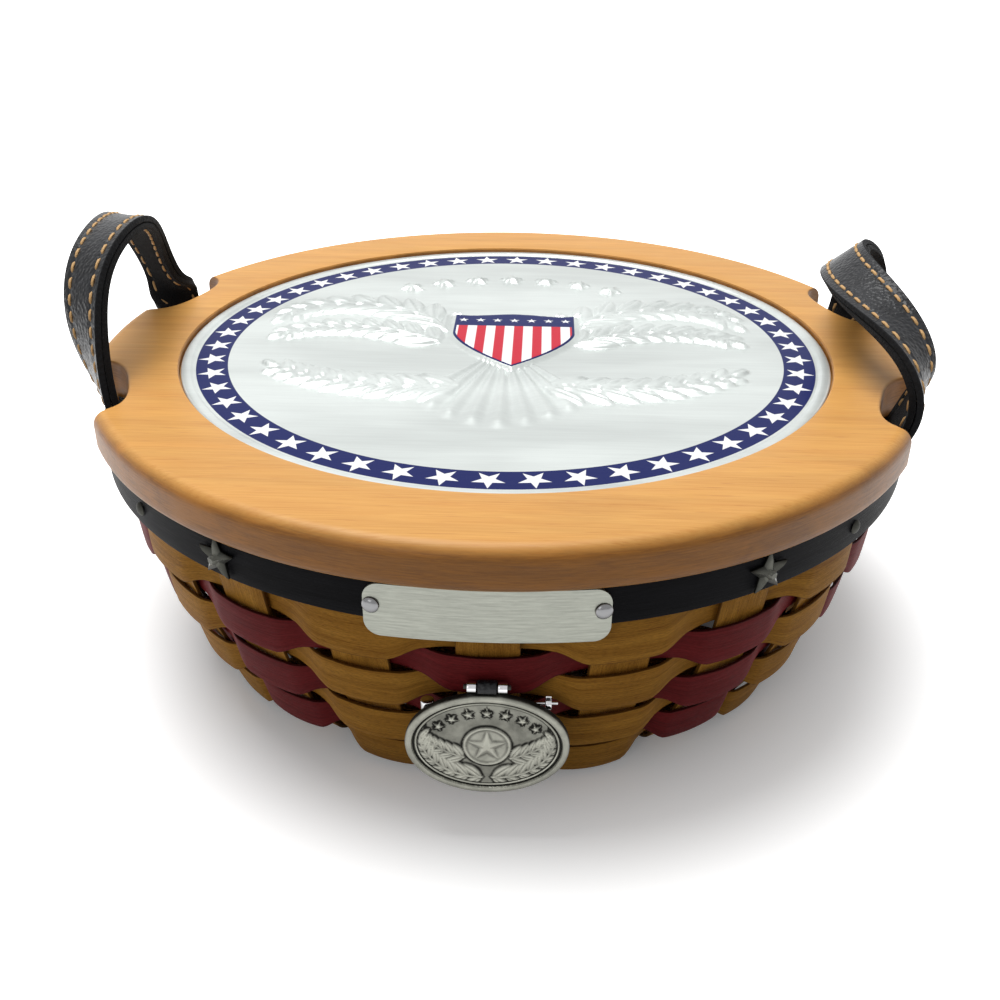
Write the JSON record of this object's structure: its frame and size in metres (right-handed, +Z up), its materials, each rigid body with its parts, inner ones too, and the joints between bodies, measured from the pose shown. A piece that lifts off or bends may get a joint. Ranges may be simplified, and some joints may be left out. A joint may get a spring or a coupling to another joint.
{
  "type": "woven splint basket with lid",
  "caption": "Round woven splint basket in golden and burgundy with a black rim hoop, turned maple lid with an embossed plate, leather strap handles and a hanging oval medallion.",
  "frame": {"origin": "centre of the plane the basket stands on, under the middle of the floor", "axes": "+Z up, -Y is the front with the tag and medallion, the handles are at +X and -X"},
  "size_m": [0.2819, 0.2792, 0.1443],
  "materials": {
    "golden_splint": "satin",
    "burgundy_splint": "satin",
    "black_wood": "satin",
    "natural_maple": "satin",
    "embossed_tin": "brushed with printed border",
    "brushed_tag": "brushed",
    "antique_pewter": "antiqued",
    "black_leather": "satin grain",
    "suede_lining": "suede",
    "bright_steel": "polished"
  },
  "bodies": {
    "basket": {"through_splint_1": "golden_splint", "through_splint_2": "golden_splint", "through_splint_3": "golden_splint", "through_splint_4": "golden_splint", "through_splint_5": "golden_splint", "through_splint_6": "golden_splint", "filler_stake_1": "golden_splint", "filler_stake_2": "golden_splint", "filler_stake_3": "golden_splint", "filler_stake_4": "golden_splint", "filler_stake_5": "golden_splint", "filler_stake_6": "golden_splint", "filler_stake_7": "golden_splint", "filler_stake_8": "golden_splint", "filler_stake_9": "golden_splint", "filler_stake_10": "golden_splint", "wall_row_1_golden": "golden_splint", "wall_row_2_burgundy": "burgundy_splint", "wall_row_3_golden": "golden_splint", "wall_row_4_burgundy": "burgundy_splint", "wall_row_5_golden": "golden_splint", "wall_row_6_burgundy": "burgundy_splint", "wall_row_7_golden": "golden_splint", "floor_row_1": "golden_splint", "floor_row_2": "golden_splint", "floor_row_3": "golden_splint", "hoop_tack_1": "antique_pewter", "hoop_tack_2": "antique_pewter", "hoop_tack_3": "antique_pewter", "hoop_tack_4": "antique_pewter", "hoop_tack_5": "antique_pewter", "hoop_tack_6": "antique_pewter", "star_ornament_right": "antique_pewter", "star_ornament_left": "antique_pewter", "tag_rivet_left": "bright_steel", "tag_rivet_right": "bright_steel", "metal_tag": "brushed_tag", "outer_hoop": "black_wood", "inner_hoop": "golden_splint", "strap_tab_left_front": "black_leather", "strap_tab_left_rear": "black_leather", "strap_tab_right_front": "black_leather", "strap_tab_right_rear": "black_leather", "leather_hanger": "black_leather", "hanger_pivot": "bright_steel"},
    "lid": {"lid_board": "natural_maple", "lid_plate": "embossed_tin"},
    "handle_left": {"handle_left_outer": "black_leather", "handle_left_lining": "suede_lining"},
    "handle_right": {"handle_right_outer": "black_leather", "handle_right_lining": "suede_lining"},
    "medallion_swing": {"medallion": "antique_pewter", "bail_left": "bright_steel", "bail_right": "bright_steel", "brooch_pin": "bright_steel", "brooch_hinge": "bright_steel", "brooch_catch": "bright_steel"}
  },
  "joints": [
    {"name": "lid_lift", "type": "slide", "parent": "basket", "child": "lid", "axis": [0, 0, 1], "range_m": [0, 0.04]},
    {"name": "handle_left_swing", "type": "hinge", "parent": "basket", "child": "handle_left", "pos_m": [-0.1315, 0, 0.0886], "axis": [0, -1, 0], "range_deg": [0, 45]},
    {"name": "handle_right_swing", "type": "hinge", "parent": "basket", "child": "handle_right", "pos_m": [0.1315, 0, 0.0886], "axis": [0, 1, 0], "range_deg": [0, 62]},
    {"name": "medallion_swing", "type": "hinge", "parent": "basket", "child": "medallion_swing", "pos_m": [0, -0.1324, 0.0544], "axis": [-1, 0, 0], "range_deg": [-5, 70]}
  ],
  "couplings": [
    {"joint": "handle_left_swing", "follows": "lid_lift", "rad_per_m": 14},
    {"joint": "handle_right_swing", "follows": "lid_lift", "rad_per_m": 26}
  ]
}
